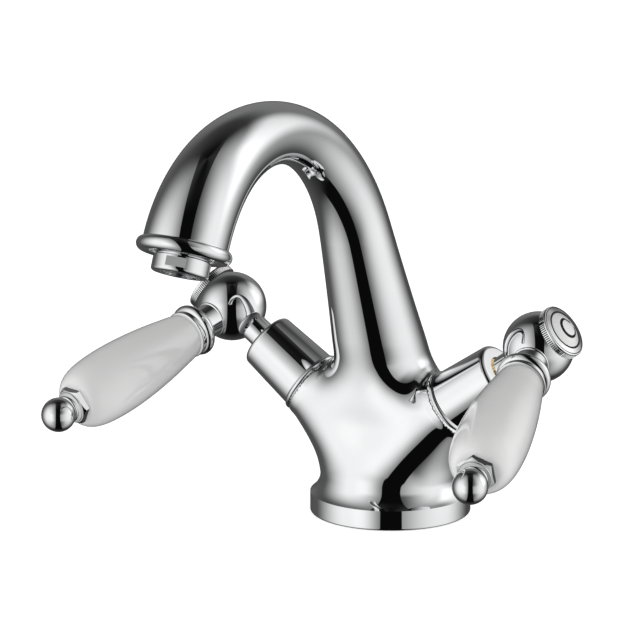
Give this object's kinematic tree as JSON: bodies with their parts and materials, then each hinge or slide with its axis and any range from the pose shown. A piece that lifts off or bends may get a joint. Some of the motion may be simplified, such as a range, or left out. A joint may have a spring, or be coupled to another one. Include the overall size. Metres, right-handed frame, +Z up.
{
  "type": "two-handle basin mixer tap",
  "caption": "Traditional swan-neck basin mixer with porcelain levers on slanted valves, for mixing hot and cold water at a washbasin.",
  "frame": {"origin": "centre of the base's underside, on the deck, at the mouth of the fixing stud's hole", "axes": "+Z up, -Y the way the spout points, +X the cold valve's side"},
  "size_m": [0.1836, 0.1835, 0.1656],
  "materials": {
    "chrome": "polished",
    "porcelain": "glazed white",
    "brass": "machined",
    "rubber": "moulded",
    "alumina": "lapped",
    "plastic": "moulded",
    "steel": "stainless"
  },
  "bodies": {
    "tap": {"body_casting": "chrome", "base_seal": "rubber", "aerator_housing": "chrome", "aerator_insert": "plastic", "aerator_screen": "steel", "aerator_washer": "rubber", "hot_valve_body": "brass", "hot_seat_seal": "rubber", "hot_fixed_disc": "alumina", "hot_shroud": "chrome", "cold_valve_body": "brass", "cold_seat_seal": "rubber", "cold_fixed_disc": "alumina", "cold_shroud": "chrome"},
    "hot_lever": {"hot_moving_disc": "alumina", "hot_spindle": "brass", "hot_spindle_seals": "rubber", "hot_hub": "chrome", "hot_hub_screw": "steel", "hot_index_ring": "chrome", "hot_index_cap": "porcelain", "hot_lever_neck": "chrome", "hot_ferrule": "chrome", "hot_grip": "porcelain", "hot_grip_washers": "plastic", "hot_tie_rod": "steel", "hot_grip_nut": "chrome", "hot_finial": "chrome"},
    "cold_lever": {"cold_moving_disc": "alumina", "cold_spindle": "brass", "cold_spindle_seals": "rubber", "cold_hub": "chrome", "cold_hub_screw": "steel", "cold_index_ring": "chrome", "cold_index_cap": "porcelain", "cold_lever_neck": "chrome", "cold_ferrule": "chrome", "cold_grip": "porcelain", "cold_grip_washers": "plastic", "cold_tie_rod": "steel", "cold_grip_nut": "chrome", "cold_finial": "chrome"}
  },
  "joints": [
    {"name": "hot_lever_turn", "type": "hinge", "parent": "tap", "child": "hot_lever", "pos_m": [-0.06432, -0.0065, 0.07059], "axis": [-0.8111, 0, 0.585], "range_deg": [0, 80]},
    {"name": "cold_lever_turn", "type": "hinge", "parent": "tap", "child": "cold_lever", "pos_m": [0.06432, -0.0065, 0.07059], "axis": [-0.8111, 0, -0.585], "range_deg": [0, 80]}
  ]
}
